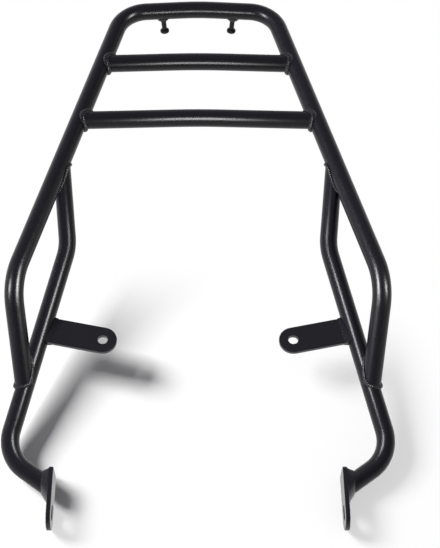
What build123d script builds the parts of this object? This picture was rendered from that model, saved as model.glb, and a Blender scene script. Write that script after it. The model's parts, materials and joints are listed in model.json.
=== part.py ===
"""Motorcycle luggage rack of welded steel tube, bolted on at two tabs and two slotted foot plates.

The frame: +X is the rider's left, -Y is ahead, +Z is up. The origin lies midway between the two
tab holes, on the tabs' underside.
"""

import os
from math import cos, pi, radians, sin, sqrt, tan

from build123d import *

# Tube stock
rail_od = 20.0
rail_wall = 2.0
cross_od = 20.0
cross_wall = 2.0
strut_od = 19.0
strut_wall = 2.0

# Main loop: rear bar, rails and legs in one bent tube
rail_height = 57.9
rear_corner_y = 424.0
rear_width = 179.0
rear_bow = 5.5
rear_bow_radius = 300.0
rear_corner_radius = 38.0
rail_splay = 15.0
rail_length = 399.0
front_bend_radius = 65.0
leg_seat = 65.7
leg_setback = 3.0

# Cross tubes, placed by their ends' distance ahead of the rear corners
rear_cross_distance = 83.0
front_cross_distance = 169.0
cross_bow = 4.0
cross_bow_radius = 900.0
cross_setback = 3.0

# Mounting tabs of flat bar
tab_hole_spacing = 201.0
tab_hole_diameter = 10.5
tab_width = 30.0
tab_thickness = 4.5
tab_reach = 65.8
tab_sweep = 12.0

# Struts, placed by the tabs they carry
strut_splay = 13.9
strut_slope = 10.95
strut_rear_run = 97.8
strut_front_run = 139.7
strut_top_distance = 236.5
strut_rear_bend_radius = 60.0
strut_front_bend_radius = 40.0
strut_foot_sweep = 36.0

# Foot plates of flat bar
foot_spacing = 290.0
foot_thickness = 4.5
foot_height = 28.0
foot_length = 62.0
foot_rear_margin = 17.5
foot_corner_radius = 3.0
foot_slot_width = 9.0
foot_slot_length = 16.0

# Hook pegs under the rear bar
peg_spacing = 86.0
peg_length = 19.5
peg_diameter = 6.0
peg_head_diameter = 11.0
peg_head_thickness = 5.0
peg_head_rounding = 2.2
peg_lean = 15.0
peg_toe = 5.0

# Weld beads and broken edges
bead_leg = 3.4
seam_side_share = 0.47
seam_points = 24
tab_bead_leg = 4.2
tab_bead_rise = 3.5
tab_bead_side = 0.5
foot_bead_depth = 7.5
foot_bead_rim = 0.9
foot_bead_margin = 1.0
foot_bead_tail = 19.0
foot_bead_nose_radius = 11.0
foot_bead_corner_radius = 2.5
peg_bead_leg = 4.4
peg_bead_hollow = 12.0
bead_root_depth = 4.5
edge_break = 0.6

# Length of the cylinders that cope the tubes, and width of the block that mitres the strut
cutter_length = 150.0
mitre_block = 54.0

# Lines of the left half, all through tube axes
splay = radians(rail_splay)
rail_forward = Vector(sin(splay), -cos(splay), 0)
rear_corner = Vector(rear_width / 2, rear_corner_y, rail_height)
rear_middle = Vector(0, rear_corner_y + rear_bow, rail_height)
bar_outward = (rear_corner - rear_middle).normalized()
front_corner = rear_corner + rail_forward * rail_length

tab_hole = Vector(tab_hole_spacing / 2, 0, 0)
tab_outward = Vector(cos(radians(tab_sweep)), sin(radians(tab_sweep)), 0)
tab_root = tab_hole + tab_outward * tab_reach + Vector(0, 0, tab_thickness / 2)

slope = radians(strut_slope)
strut_turn = radians(strut_splay)
strut_forward = Vector(sin(strut_turn) * cos(slope), -cos(strut_turn) * cos(slope), -sin(slope))
strut_top = rear_corner + rail_forward * strut_top_distance
strut_rear_bend = tab_root - strut_forward * strut_rear_run
strut_front_bend = tab_root + strut_forward * strut_front_run
strut_descent = (strut_rear_bend - strut_top).normalized()

foot_inward = Vector(-cos(radians(strut_foot_sweep)), -sin(radians(strut_foot_sweep)), 0)
foot_face_x = foot_spacing / 2 + foot_thickness
foot_joint = strut_front_bend + foot_inward * ((strut_front_bend.X - foot_face_x) / -foot_inward.X)

leg_joint = tab_root + strut_forward * leg_seat
leg_descent = (leg_joint - front_corner).normalized()
leg_end = leg_joint - leg_descent * leg_setback

peg_root = rear_middle + bar_outward * (peg_spacing / 2 / bar_outward.X)
peg_tilt = radians(peg_lean)
peg_turn = radians(peg_toe)
peg_fall = Vector(0, -sin(peg_tilt), -cos(peg_tilt))
peg_down = peg_fall * cos(peg_turn) - Vector(sin(peg_turn), 0, 0)
peg_side = peg_fall * sin(peg_turn) + Vector(cos(peg_turn), 0, 0)


def mirrored(point):
    """The same point on the right half."""
    return Vector(-point.X, point.Y, point.Z)


def axis_place(point, direction):
    """Where a cylinder centred on the point and lying along the direction goes."""
    return Plane(origin=point, z_dir=direction).location


def outlines(flat_faces):
    """The outer edges of a plate's flat faces, without those of its holes."""
    return [edge for face in flat_faces for edge in face.outer_wire().edges()]


def saddle_seam(joint, branch, main, branch_radius, main_radius):
    """The closed seam of a branch tube on a main tube whose axes cross at the joint.

    At the branch's sides the seam stands high enough for a bead to bend round it.
    """
    lean = branch.dot(main)
    rise = sqrt(1 - lean**2)
    along = (main - branch * lean) / rise
    beside = branch.cross(along)
    coped_side = sqrt(max(main_radius**2 - branch_radius**2, 0))
    side_height = max(coped_side, seam_side_share * branch_radius)
    points = []
    for step in range(seam_points):
        angle = 2 * pi * step / seam_points
        height = sqrt((main_radius * cos(angle)) ** 2 + (side_height * sin(angle)) ** 2)
        reach = (height + branch_radius * cos(angle) * lean) / rise
        ring = along * cos(angle) + beside * sin(angle)
        points.append(joint + branch * reach + ring * branch_radius)
    return Spline(*points, periodic=True).edge()


def tube_joint_bead(joint, branch, main, branch_od, main_od):
    """A convex weld bead round a coped joint, cut back to both tubes' outer walls.

    A shallow joint has a sharper seam, so its bead is thinner.
    """
    bead_radius = bead_leg * sqrt(1 - branch.dot(main) ** 2)
    seam = saddle_seam(joint, branch, main, branch_od / 2, main_od / 2)
    with BuildPart() as bead:
        for half in (seam.trim(0, 0.5), seam.trim(0.5, 1)):
            with BuildSketch(Plane(origin=half @ 0, z_dir=half % 0)):
                Circle(bead_radius)
            sweep(path=half)
        with Locations(axis_place(joint, main)):
            Cylinder(main_od / 2, cutter_length, mode=Mode.SUBTRACT)
        with Locations(axis_place(joint + branch * (cutter_length / 2), branch)):
            Cylinder(branch_od / 2, cutter_length, mode=Mode.SUBTRACT)
    return bead


# Main loop tube, its leg ends coped to the struts
with BuildPart() as main_loop_tube:
    left_points = [leg_end, front_corner, rear_corner]
    with BuildLine() as loop_path:
        FilletPolyline(
            *left_points,
            rear_middle,
            *[mirrored(point) for point in reversed(left_points)],
            radius=[
                front_bend_radius,
                rear_corner_radius,
                rear_bow_radius,
                rear_corner_radius,
                front_bend_radius,
            ],
        )
    with BuildSketch(Plane(origin=loop_path.line @ 0, z_dir=loop_path.line % 0)):
        Circle(rail_od / 2)
        Circle(rail_od / 2 - rail_wall, mode=Mode.SUBTRACT)
    sweep(path=loop_path.wire())
    for joint, direction in (
        (leg_joint, strut_forward),
        (mirrored(leg_joint), mirrored(strut_forward)),
    ):
        with Locations(axis_place(joint, direction)):
            Cylinder(strut_od / 2, cutter_length, mode=Mode.SUBTRACT)


def cross_joint(distance):
    """Where a cross tube's axis meets the left rail's axis."""
    return rear_corner + rail_forward * (distance / cos(splay))


def cross_middle(distance):
    """The corner of a cross tube's slight bow, half way across."""
    return Vector(0, cross_joint(distance).Y + cross_bow, rail_height)


def cross_inward(distance):
    """The direction in which a cross tube leaves the left rail."""
    return (cross_middle(distance) - cross_joint(distance)).normalized()


def cross_tube(distance):
    """A slightly bowed tube between the rails, coped to both."""
    joint = cross_joint(distance)
    end = joint + cross_inward(distance) * cross_setback
    with BuildPart() as tube:
        with BuildLine() as path:
            FilletPolyline(end, cross_middle(distance), mirrored(end), radius=cross_bow_radius)
        with BuildSketch(Plane(origin=path.line @ 0, z_dir=path.line % 0)):
            Circle(cross_od / 2)
            Circle(cross_od / 2 - cross_wall, mode=Mode.SUBTRACT)
        sweep(path=path.wire())
        for point, direction in ((joint, rail_forward), (mirrored(joint), mirrored(rail_forward))):
            with Locations(axis_place(point, direction)):
                Cylinder(rail_od / 2, cutter_length, mode=Mode.SUBTRACT)
    return tube


def cross_bead(distance):
    """The bead at a cross tube's left end."""
    return tube_joint_bead(cross_joint(distance), cross_inward(distance), rail_forward, cross_od, rail_od)


rear_cross_tube = cross_tube(rear_cross_distance)
front_cross_tube = cross_tube(front_cross_distance)

# Left strut tube: coped to the rail at the top, mitred to the foot plate
with BuildPart() as strut_tube:
    with BuildLine() as strut_path:
        FilletPolyline(
            strut_top,
            strut_rear_bend,
            strut_front_bend,
            foot_joint + foot_inward * strut_od,
            radius=[strut_rear_bend_radius, strut_front_bend_radius],
        )
    with BuildSketch(Plane(origin=strut_path.line @ 0, z_dir=strut_path.line % 0)):
        Circle(strut_od / 2)
        Circle(strut_od / 2 - strut_wall, mode=Mode.SUBTRACT)
    sweep(path=strut_path.wire())
    with Locations(foot_joint):
        Box(
            mitre_block,
            mitre_block,
            mitre_block,
            align=(Align.MAX, Align.CENTER, Align.CENTER),
            mode=Mode.SUBTRACT,
        )
    with Locations(axis_place(strut_top, rail_forward)):
        Cylinder(rail_od / 2, cutter_length, mode=Mode.SUBTRACT)

# Left mounting tab: round end about its hole, root coped to the strut
with BuildPart() as mounting_tab:
    with BuildSketch(Plane(origin=tab_hole, x_dir=tab_outward, z_dir=(0, 0, 1))):
        Rectangle(tab_reach, tab_width, align=(Align.MIN, Align.CENTER))
        Circle(tab_width / 2)
        Circle(tab_hole_diameter / 2, mode=Mode.SUBTRACT)
    extrude(amount=tab_thickness)
    fillet(outlines(faces().filter_by(Axis.Z)), edge_break)
    with Locations(axis_place(tab_root, strut_forward)):
        Cylinder(strut_od / 2, cutter_length, mode=Mode.SUBTRACT)

# Left foot plate: square rear end at the strut, round front end about the slot's front
foot_rear_y = foot_joint.Y + foot_rear_margin
foot_front_y = foot_rear_y - foot_length
foot_nose_y = foot_front_y + foot_height / 2
slot_spread = foot_slot_length - foot_slot_width
with BuildPart() as foot_plate:
    with BuildSketch(Plane.YZ.offset(foot_spacing / 2)):
        with Locations((foot_nose_y, foot_joint.Z)):
            Rectangle(foot_rear_y - foot_nose_y, foot_height, align=(Align.MIN, Align.CENTER))
            Circle(foot_height / 2)
            rear_corners = vertices().group_by(Axis.X)[-1]
            fillet(rear_corners, foot_corner_radius)
        with Locations((foot_nose_y + slot_spread / 2, foot_joint.Z)):
            SlotOverall(foot_slot_length, foot_slot_width, mode=Mode.SUBTRACT)
    extrude(amount=foot_thickness)
    fillet(outlines(faces().filter_by(Axis.X)), edge_break)

# Left hook peg: plain stem with a rounded head, its top coped to the rear bar
peg_plane = Plane(origin=peg_root, x_dir=peg_side, z_dir=peg_side.cross(peg_down))
peg_axis = Axis(peg_root, peg_down)
peg_tip = rail_od / 2 + peg_length
with BuildPart() as hook_peg:
    with BuildSketch(peg_plane):
        Rectangle(peg_diameter / 2, peg_tip, align=(Align.MIN, Align.MIN))
        with Locations((0, peg_tip)):
            Rectangle(peg_head_diameter / 2, peg_head_thickness, align=(Align.MIN, Align.MAX))
        fillet(vertices().group_by(Axis.X)[-1], peg_head_rounding)
    revolve(axis=peg_axis)
    with Locations(axis_place(peg_root, bar_outward)):
        Cylinder(rail_od / 2, cutter_length, mode=Mode.SUBTRACT)

# Left peg weld: a slightly hollow flare from the bar onto the stem
flare_radius = peg_diameter / 2 + peg_bead_leg
flare_root = rail_od / 2 - bead_root_depth
with BuildPart() as peg_weld:
    with BuildSketch(peg_plane):
        with BuildLine():
            flare = RadiusArc(
                (flare_radius, rail_od / 2),
                (peg_diameter / 2, rail_od / 2 + peg_bead_leg),
                peg_bead_hollow,
            )
            Polyline(flare @ 0, (flare_radius, flare_root), (0, flare_root), (0, (flare @ 1).Y), flare @ 1)
        make_face()
    revolve(axis=peg_axis)
    with Locations(axis_place(peg_root, bar_outward)):
        Cylinder(rail_od / 2, cutter_length, mode=Mode.SUBTRACT)
    with Locations(axis_place(peg_root, peg_down)):
        Cylinder(peg_diameter / 2, cutter_length, mode=Mode.SUBTRACT)

# Left tab weld: a collar that tapers from the strut onto the tab
tab_inward = tab_outward * -1
tab_across = Plane(origin=tab_root, x_dir=(-tab_outward.Y, tab_outward.X, 0), z_dir=tab_inward)
with BuildPart() as tab_weld:
    with BuildSketch(tab_across.offset(strut_od / 2 - bead_root_depth)):
        Rectangle(tab_width + 2 * tab_bead_side, tab_thickness + 2 * tab_bead_rise)
    with BuildSketch(tab_across.offset(strut_od / 2 + tab_bead_leg)):
        Rectangle(tab_width + edge_break, tab_thickness + edge_break)
    loft()
    with Locations(axis_place(tab_root, strut_forward)):
        Cylinder(strut_od / 2, cutter_length, mode=Mode.SUBTRACT)
    add(mounting_tab.part, mode=Mode.SUBTRACT)

# Left foot weld: a collar round the mitred strut end, as broad as the plate and longest ahead
foot_plane = Plane(origin=foot_joint, x_dir=(0, 1, 0), z_dir=(1, 0, 0))
mitre_radius = strut_od / 2 / cos(radians(strut_foot_sweep))
mitre_shift = tan(radians(strut_foot_sweep))
with BuildPart() as foot_weld:
    with BuildSketch(foot_plane):
        with Locations((-foot_bead_tail, 0)):
            Rectangle(
                foot_bead_tail + foot_rear_margin - foot_bead_margin,
                foot_height - 2 * foot_bead_margin,
                align=(Align.MIN, Align.CENTER),
            )
        fillet(vertices().group_by(Axis.X)[-1], foot_bead_corner_radius)
        fillet(vertices().group_by(Axis.X)[0], foot_bead_nose_radius)
    with BuildSketch(foot_plane.offset(foot_bead_depth)):
        with Locations((foot_bead_depth * mitre_shift, 0)):
            Ellipse(mitre_radius + foot_bead_rim, strut_od / 2 + foot_bead_rim)
    loft()
    with Locations(axis_place(foot_joint, foot_inward)):
        Cylinder(strut_od / 2, cutter_length, mode=Mode.SUBTRACT)

left_pieces = {
    "strut_tube": strut_tube,
    "mounting_tab": mounting_tab,
    "foot_plate": foot_plate,
    "hook_peg": hook_peg,
    "rear_cross_weld": cross_bead(rear_cross_distance),
    "front_cross_weld": cross_bead(front_cross_distance),
    "strut_top_weld": tube_joint_bead(strut_top, strut_descent, rail_forward, strut_od, rail_od),
    "leg_end_weld": tube_joint_bead(leg_joint, leg_descent * -1, strut_forward, rail_od, strut_od),
    "tab_weld": tab_weld,
    "foot_weld": foot_weld,
    "peg_weld": peg_weld,
}
middle_pieces = {
    "main_loop_tube": main_loop_tube,
    "rear_cross_tube": rear_cross_tube,
    "front_cross_tube": front_cross_tube,
}


def save(piece, name):
    """Labels a finished piece and writes it to its own file."""
    piece.part.label = name
    export_step(piece.part, f"parts/{name}.step")


os.makedirs("parts", exist_ok=True)
for name, piece in middle_pieces.items():
    save(piece, name)
for name, piece in left_pieces.items():
    save(piece, "left_" + name)
    with BuildPart() as twin:
        mirror(piece.part, about=Plane.YZ)
    save(twin, "right_" + name)
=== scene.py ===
"""Studio picture of the luggage rack: coats, welds, floor, lamps and camera."""

import json
import math

import bpy
import numpy as np
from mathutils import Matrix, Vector


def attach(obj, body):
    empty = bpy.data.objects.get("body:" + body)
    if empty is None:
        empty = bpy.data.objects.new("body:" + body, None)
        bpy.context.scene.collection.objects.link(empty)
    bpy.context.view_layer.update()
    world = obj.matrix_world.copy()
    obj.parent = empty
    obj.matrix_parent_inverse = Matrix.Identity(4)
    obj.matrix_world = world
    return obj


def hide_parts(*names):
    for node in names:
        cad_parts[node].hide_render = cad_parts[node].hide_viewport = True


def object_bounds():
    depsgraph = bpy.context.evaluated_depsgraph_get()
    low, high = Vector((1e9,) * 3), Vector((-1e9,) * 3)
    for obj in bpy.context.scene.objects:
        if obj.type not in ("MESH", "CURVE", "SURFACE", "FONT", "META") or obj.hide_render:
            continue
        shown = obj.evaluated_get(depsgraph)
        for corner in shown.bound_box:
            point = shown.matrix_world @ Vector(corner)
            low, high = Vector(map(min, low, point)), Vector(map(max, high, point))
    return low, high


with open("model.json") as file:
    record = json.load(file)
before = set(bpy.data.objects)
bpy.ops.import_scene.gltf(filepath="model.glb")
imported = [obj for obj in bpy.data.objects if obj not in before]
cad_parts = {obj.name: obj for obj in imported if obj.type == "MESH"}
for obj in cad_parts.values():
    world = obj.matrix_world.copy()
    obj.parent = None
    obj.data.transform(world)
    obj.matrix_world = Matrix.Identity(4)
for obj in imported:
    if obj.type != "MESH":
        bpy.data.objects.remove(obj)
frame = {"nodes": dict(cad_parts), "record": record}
cad_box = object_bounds()
nodes = frame["nodes"]
subparts = frame["record"]["subparts"]

# Powder coat: noise scales and details, where the clouding starts and ends, sheen and bump of the peel
cloud_scale, cloud_detail = 38.0, 4.0
cloud_start, cloud_end = 0.32, 0.70
sheen_scale, sheen_detail = 120.0, 3.0
sheen_spread = 0.03
grain_scale, grain_detail = 600.0, 2.0
peel_depth = 0.00008
tube_ior = 1.32
plate_ior = 1.5

# Darkest and lightest colour of each coat
tube_black = ((0.0086, 0.0080, 0.0114), (0.0102, 0.0095, 0.0136))
peg_black = ((0.0045, 0.0045, 0.0055), (0.0075, 0.0075, 0.0090))
weld_black = ((0.0090, 0.0084, 0.0118), (0.0140, 0.0132, 0.0180))


def coat(name, colours, rough, peel, ior):
    """Satin powder coat: fine orange peel, faint clouding and an uneven sheen."""
    material = bpy.data.materials.new(name)
    material.use_nodes = True
    tree = material.node_tree
    shader = tree.nodes["Principled BSDF"]
    shader.inputs["IOR"].default_value = ior
    place = tree.nodes.new("ShaderNodeTexCoord")

    cloud = tree.nodes.new("ShaderNodeTexNoise")
    cloud.inputs["Scale"].default_value = cloud_scale
    cloud.inputs["Detail"].default_value = cloud_detail
    tint = tree.nodes.new("ShaderNodeValToRGB")
    for stop, position, colour in zip(tint.color_ramp.elements, (cloud_start, cloud_end), colours):
        stop.position = position
        stop.color = (*colour, 1)

    sheen = tree.nodes.new("ShaderNodeTexNoise")
    sheen.inputs["Scale"].default_value = sheen_scale
    sheen.inputs["Detail"].default_value = sheen_detail
    spread = tree.nodes.new("ShaderNodeMapRange")
    spread.inputs["To Min"].default_value = rough - sheen_spread
    spread.inputs["To Max"].default_value = rough + sheen_spread

    grain = tree.nodes.new("ShaderNodeTexNoise")
    grain.inputs["Scale"].default_value = grain_scale
    grain.inputs["Detail"].default_value = grain_detail
    bump = tree.nodes.new("ShaderNodeBump")
    bump.inputs["Strength"].default_value = peel
    bump.inputs["Distance"].default_value = peel_depth

    link = tree.links.new
    for noise in (cloud, sheen, grain):
        link(place.outputs["Object"], noise.inputs["Vector"])
    link(cloud.outputs["Fac"], tint.inputs["Fac"])
    link(tint.outputs["Color"], shader.inputs["Base Color"])
    link(sheen.outputs["Fac"], spread.inputs["Value"])
    link(spread.outputs["Result"], shader.inputs["Roughness"])
    link(grain.outputs["Fac"], bump.inputs["Height"])
    link(bump.outputs["Normal"], shader.inputs["Normal"])
    return material


coats = {
    "tube_coat": coat("tube_coat", tube_black, rough=0.28, peel=0.012, ior=tube_ior),
    "plate_coat": coat("plate_coat", tube_black, rough=0.23, peel=0.03, ior=plate_ior),
    "peg_coat": coat("peg_coat", peg_black, rough=0.30, peel=0.04, ior=tube_ior),
    "weld_coat": coat("weld_coat", weld_black, rough=0.27, peel=0.10, ior=plate_ior),
}
for subpart in subparts:
    node = nodes[subpart["node"]]
    node.data.materials.clear()
    node.data.materials.append(coats[subpart["material_slot"]])

# Weld ripples: voxel of the finer mesh and its smoothing, pitch along the seam, height, steps round the seam
weld_voxel = 0.0003
smoothing_passes = 4
ripple_pitch = 0.0022
ripple_height = 0.0004
smooth_ripple_height = 0.0001
smooth_welds = ("tab_weld", "foot_weld")
seam_steps = 90


def seam_length(points):
    """How far along its closed seam each point of a weld lies, and the seam's whole length."""
    middle = points.mean(axis=0)
    spread = points - middle
    across, along = np.linalg.svd(spread, full_matrices=False)[2][1::-1]
    turn = np.arctan2(spread @ across, spread @ along) % math.tau
    step = (turn / math.tau * seam_steps).astype(int) % seam_steps
    seam = np.array([spread[step == index].mean(axis=0) for index in range(seam_steps)])
    runs = np.linalg.norm(np.roll(seam, -1, axis=0) - seam, axis=1)
    reached = np.concatenate([[0.0], np.cumsum(runs)])
    return np.interp(turn, np.linspace(0, math.tau, seam_steps + 1), reached), reached[-1]


def rippled_weld(node, height):
    """The weld again on a finer mesh, laid in overlapping round ripples along its seam."""
    mesh = node.data.copy()
    piece = bpy.data.objects.new(node.name + "_rippled", mesh)
    bpy.context.scene.collection.objects.link(piece)
    fine = piece.modifiers.new("fine", "REMESH")
    fine.mode = "VOXEL"
    fine.voxel_size = weld_voxel
    fine.use_smooth_shade = True
    soften = piece.modifiers.new("soften", "SMOOTH")
    soften.iterations = smoothing_passes
    done = piece.evaluated_get(bpy.context.evaluated_depsgraph_get())
    piece.data = bpy.data.meshes.new_from_object(done)
    piece.modifiers.clear()

    count = len(piece.data.vertices)
    points = np.empty(count * 3)
    normals = np.empty(count * 3)
    piece.data.vertices.foreach_get("co", points)
    piece.data.vertices.foreach_get("normal", normals)
    points = points.reshape(-1, 3)
    reached, whole = seam_length(points)
    ripples = round(whole / ripple_pitch)
    crest = np.abs(np.sin(math.pi * reached * ripples / whole))
    points += normals.reshape(-1, 3) * ((crest - 0.5) * height)[:, None]
    piece.data.vertices.foreach_set("co", points.ravel())
    piece.data.update()
    return piece


# The object that is seen for each node: the node itself, or the rippled weld that replaces it
seen_pieces = {subpart["node"]: nodes[subpart["node"]] for subpart in subparts}
for subpart in subparts:
    if subpart["material_slot"] != "weld_coat":
        continue
    smooth = subpart["node"].endswith(smooth_welds)
    weld = rippled_weld(nodes[subpart["node"]], smooth_ripple_height if smooth else ripple_height)
    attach(weld, "root")
    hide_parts(subpart["node"])
    seen_pieces[subpart["node"]] = weld

# Floor: its size, the gap under the rack and the paper's grey
floor_size = 40
floor_gap = 0.0005
paper_grey = (0.9, 0.9, 0.9, 1)
# Oval of the floor's shadow: its middle along Y, its squeeze along X, where the shadow starts to fade
# and where it has gone
oval_middle = -0.16
oval_squeeze = 0.75
shadow_edge = 0.17
white_edge = 0.29


def floor_paper():
    """Paper that keeps the rack's shadow in an oval; outside it and in reflections it is plain white."""
    material = bpy.data.materials.new("floor_paper")
    material.use_nodes = True
    tree = material.node_tree
    paper = tree.nodes["Principled BSDF"]
    paper.inputs["Roughness"].default_value = 1.0
    paper.inputs["Specular IOR Level"].default_value = 0.0
    paper.inputs["Base Color"].default_value = paper_grey
    white = tree.nodes.new("ShaderNodeEmission")
    place = tree.nodes.new("ShaderNodeTexCoord")
    oval = tree.nodes.new("ShaderNodeMapping")
    oval.inputs["Location"].default_value = (0, -oval_middle, 0)
    oval.inputs["Scale"].default_value = (oval_squeeze, 1, 1)
    reach = tree.nodes.new("ShaderNodeVectorMath")
    reach.operation = "LENGTH"
    fade = tree.nodes.new("ShaderNodeMapRange")
    fade.interpolation_type = "SMOOTHSTEP"
    fade.inputs["From Min"].default_value = shadow_edge
    fade.inputs["From Max"].default_value = white_edge
    path = tree.nodes.new("ShaderNodeLightPath")
    plain = tree.nodes.new("ShaderNodeMath")
    plain.operation = "MULTIPLY_ADD"
    blend = tree.nodes.new("ShaderNodeMixShader")

    link = tree.links.new
    link(place.outputs["Object"], oval.inputs["Vector"])
    link(oval.outputs["Vector"], reach.inputs[0])
    link(reach.outputs["Value"], fade.inputs["Value"])
    link(fade.outputs["Result"], plain.inputs[0])
    link(path.outputs["Is Camera Ray"], plain.inputs[1])
    link(path.outputs["Is Glossy Ray"], plain.inputs[2])
    link(plain.outputs["Value"], blend.inputs["Fac"])
    link(paper.outputs["BSDF"], blend.inputs[1])
    link(white.outputs["Emission"], blend.inputs[2])
    link(blend.outputs["Shader"], tree.nodes["Material Output"].inputs["Surface"])
    return material


bpy.ops.mesh.primitive_plane_add(size=floor_size, location=(0, 0, cad_box[0][2] - floor_gap))
floor = bpy.context.object
floor.name = "floor"
floor.data.materials.append(floor_paper())

# Lamps seen only as reflections: one at each side on the loop, a strip above on all but the matt pieces
side_lamp_place = (1.83, -0.30, 1.66)
side_lamp_target = (0, 0.20, 0.06)
side_lamp_size = (0.50, 0.90)
side_lamp_watts = 70.0
strip_lamp_place = (0, 0, 0.25)
strip_lamp_target = (0, 0, 0)
strip_lamp_size = (0.075, 0.19)
strip_lamp_watts = 1.9
matt_pieces = ("mounting_tab", "foot_plate", "tab_weld", "foot_weld")

# Soft keys behind the rack at the picture's left, not seen in reflections
key_place = (-7.3, 3.2, 5.9)
key_target = (0, 0.1, 0)
key_size = (3.6, 3.6)
near_key_watts = 1020
wide_key_watts = 620
# Only these pieces cast a shadow: the near ones in both keys, the far ones in the wide key alone
near_pieces = ["right_strut_tube", "right_mounting_tab"]
far_pieces = ["left_strut_tube", "left_mounting_tab", "left_foot_plate", "right_foot_plate"]


def lamp(name, place, target, size, watts):
    """A soft rectangular lamp that points at the target and isn't in the picture itself."""
    data = bpy.data.lights.new(name, "AREA")
    data.shape = "RECTANGLE"
    data.size = size[0]
    data.size_y = size[1]
    data.energy = watts
    thing = bpy.data.objects.new(name, data)
    bpy.context.scene.collection.objects.link(thing)
    thing.location = place
    thing.rotation_euler = (Vector(target) - Vector(place)).to_track_quat("-Z", "Y").to_euler()
    thing.visible_camera = False
    return thing


def reflected_lamp(name, place, target, size, watts, pieces):
    """A lamp that shows only as a reflection, and only on the named pieces."""
    card = lamp(name, place, target, size, watts)
    card.visible_diffuse = False
    lit = bpy.data.collections.new(name + "_lit")
    for piece in pieces:
        lit.objects.link(seen_pieces[piece])
    card.light_linking.receiver_collection = lit


def key_lamp(name, watts, blockers):
    """A key lamp that only the named pieces shade."""
    key = lamp(name, key_place, key_target, key_size, watts)
    key.visible_glossy = False
    shade = bpy.data.collections.new(name + "_shade")
    for blocker in blockers:
        shade.objects.link(nodes[blocker])
    key.light_linking.blocker_collection = shade


for name, side in (("left_lamp", 1), ("right_lamp", -1)):
    place = (side * side_lamp_place[0], *side_lamp_place[1:])
    reflected_lamp(name, place, side_lamp_target, side_lamp_size, side_lamp_watts, ["main_loop_tube"])
glossy_pieces = [piece for piece in seen_pieces if not piece.endswith(matt_pieces)]
reflected_lamp(
    "strip_lamp", strip_lamp_place, strip_lamp_target, strip_lamp_size, strip_lamp_watts, glossy_pieces
)
key_lamp("near_key", near_key_watts, near_pieces)
key_lamp("wide_key", wide_key_watts, near_pieces + far_pieces)

# World: colour of the walls and of the ceiling, where the ceiling starts, and the strength of its light
# as it falls on things and as it is seen by the camera or in reflections
wall_colour = (0.85, 0.85, 0.86, 1)
ceiling_colour = (0.20, 0.20, 0.21, 1)
ceiling_start = 0.60
lighting_strength = 0.75
seen_strength = 1.0


def studio_world():
    """Pale walls round a dimmer ceiling; the camera itself sees white."""
    world = bpy.data.worlds.new("studio")
    world.use_nodes = True
    tree = world.node_tree
    background = tree.nodes["Background"]
    place = tree.nodes.new("ShaderNodeTexCoord")
    split = tree.nodes.new("ShaderNodeSeparateXYZ")
    ramp = tree.nodes.new("ShaderNodeValToRGB")
    stops = ramp.color_ramp.elements
    stops[0].position = 0.0
    stops[0].color = wall_colour
    stops[1].position = ceiling_start
    stops[1].color = ceiling_colour
    path = tree.nodes.new("ShaderNodeLightPath")
    backdrop = tree.nodes.new("ShaderNodeMix")
    backdrop.data_type = "RGBA"
    backdrop.inputs["B"].default_value = (1, 1, 1, 1)
    seen = tree.nodes.new("ShaderNodeMath")
    seen.operation = "ADD"
    level = tree.nodes.new("ShaderNodeMapRange")
    level.inputs["To Min"].default_value = lighting_strength
    level.inputs["To Max"].default_value = seen_strength

    link = tree.links.new
    link(place.outputs["Generated"], split.inputs["Vector"])
    link(split.outputs["Z"], ramp.inputs["Fac"])
    link(path.outputs["Is Camera Ray"], backdrop.inputs["Factor"])
    link(ramp.outputs["Color"], backdrop.inputs["A"])
    link(backdrop.outputs["Result"], background.inputs["Color"])
    link(path.outputs["Is Camera Ray"], seen.inputs[0])
    link(path.outputs["Is Glossy Ray"], seen.inputs[1])
    link(seen.outputs["Value"], level.inputs["Value"])
    link(level.outputs["Result"], background.inputs["Strength"])
    return world


bpy.context.scene.world = studio_world()

# Camera at the photo's angle; the photo is 440 by 548 pixels
elevation = math.radians(57)
camera_place = (0, -0.6373, 1.1128)
sensor_height = 36.0
focal_px = 1211.0
picture_height_px = 548.0
axis_offset_px = 22.03
camera_data = bpy.data.cameras.new("camera")
camera_data.sensor_fit = "VERTICAL"
camera_data.sensor_height = sensor_height
camera_data.lens = sensor_height * focal_px / picture_height_px
camera_data.shift_x = axis_offset_px / picture_height_px
camera = bpy.data.objects.new("camera", camera_data)
camera.location = camera_place
camera.rotation_euler = (math.pi / 2 - elevation, 0, 0)
bpy.context.scene.collection.objects.link(camera)
bpy.context.scene.camera = camera
bpy.context.scene.view_settings.view_transform = "Standard"
